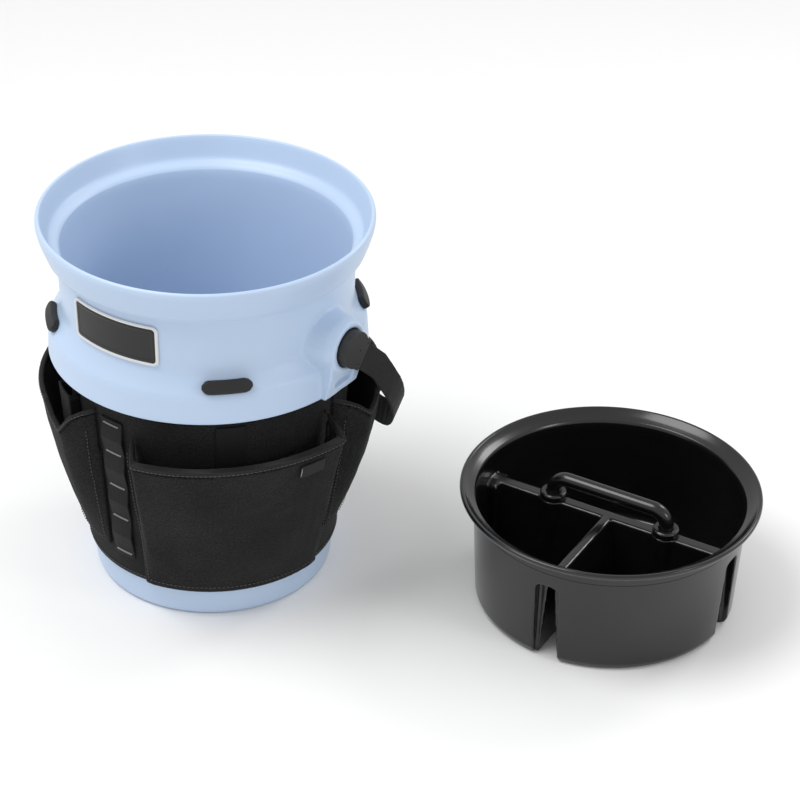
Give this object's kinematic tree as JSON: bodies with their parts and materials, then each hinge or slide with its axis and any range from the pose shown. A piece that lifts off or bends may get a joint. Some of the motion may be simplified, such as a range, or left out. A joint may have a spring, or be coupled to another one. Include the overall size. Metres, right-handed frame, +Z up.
{
  "type": "tool bucket organizer",
  "caption": "Flared moulded bucket with a sewn gear belt of open pockets, a webbing bail, and a round lift-out caddy with three compartments and a pull-up handle.",
  "frame": {"origin": "centre of the bucket's flat underside, on the surface it stands on", "axes": "+Z up; the bail turns about X; the badge faces -Y; the caddy stands beside the bucket towards +X and +Y"},
  "size_m": [0.6575, 0.4594, 0.371],
  "materials": {
    "blue_shell": "satin moulded plastic",
    "black_rubber": "matt rubber",
    "black_fabric": "coated woven fabric",
    "black_tape": "woven tape",
    "black_gloss": "gloss moulded plastic",
    "silver_trim": "satin silver",
    "pin_steel": "turned steel"
  },
  "bodies": {
    "bucket": {"bucket_shell": "blue_shell", "foot_ring": "black_rubber", "shoulder_plug_front_right": "black_rubber", "shoulder_plug_front_left": "black_rubber", "shoulder_plug_rear_left": "black_rubber", "shoulder_plug_rear_right": "black_rubber", "badge_plate": "black_gloss", "badge_border": "silver_trim", "pivot_pin_right": "pin_steel", "pivot_pin_left": "pin_steel", "belt_panel": "black_fabric", "belt_hem_bottom": "black_tape", "belt_hem_top": "black_tape", "pocket_front": "black_fabric", "pocket_binding_front": "black_tape", "pocket_rear_right": "black_fabric", "pocket_binding_rear_right": "black_tape", "pocket_rear_left": "black_fabric", "pocket_binding_rear_left": "black_tape", "pocket_left": "black_fabric", "pocket_binding_left": "black_tape", "loop_webbing_front": "black_tape", "loop_webbing_rear": "black_tape", "inner_webbing": "black_tape", "tool_sleeve": "black_fabric", "pocket_tab": "black_tape"},
    "bail": {"bail_strap": "black_tape", "bail_cap_right": "black_rubber", "bail_cap_left": "black_rubber"},
    "caddy": {"caddy_tub": "black_gloss", "handle_collar_left": "black_rubber", "handle_collar_right": "black_rubber"},
    "caddy_handle": {"caddy_handle": "black_gloss", "leg_stop_left": "black_rubber", "leg_stop_right": "black_rubber"}
  },
  "joints": [
    {"name": "bail_swing", "type": "hinge", "parent": "bucket", "child": "bail", "pos_m": [0, 0, 0.2835], "axis": [1, 0, 0], "range_deg": [0, 255]},
    {"name": "caddy_lift", "type": "slide", "parent": "bucket", "child": "caddy", "axis": [0, 0, 1], "range_m": [0, 0.3]},
    {"name": "handle_pull", "type": "slide", "parent": "caddy", "child": "caddy_handle", "axis": [0, 0, 1], "range_m": [0, 0.042]}
  ]
}
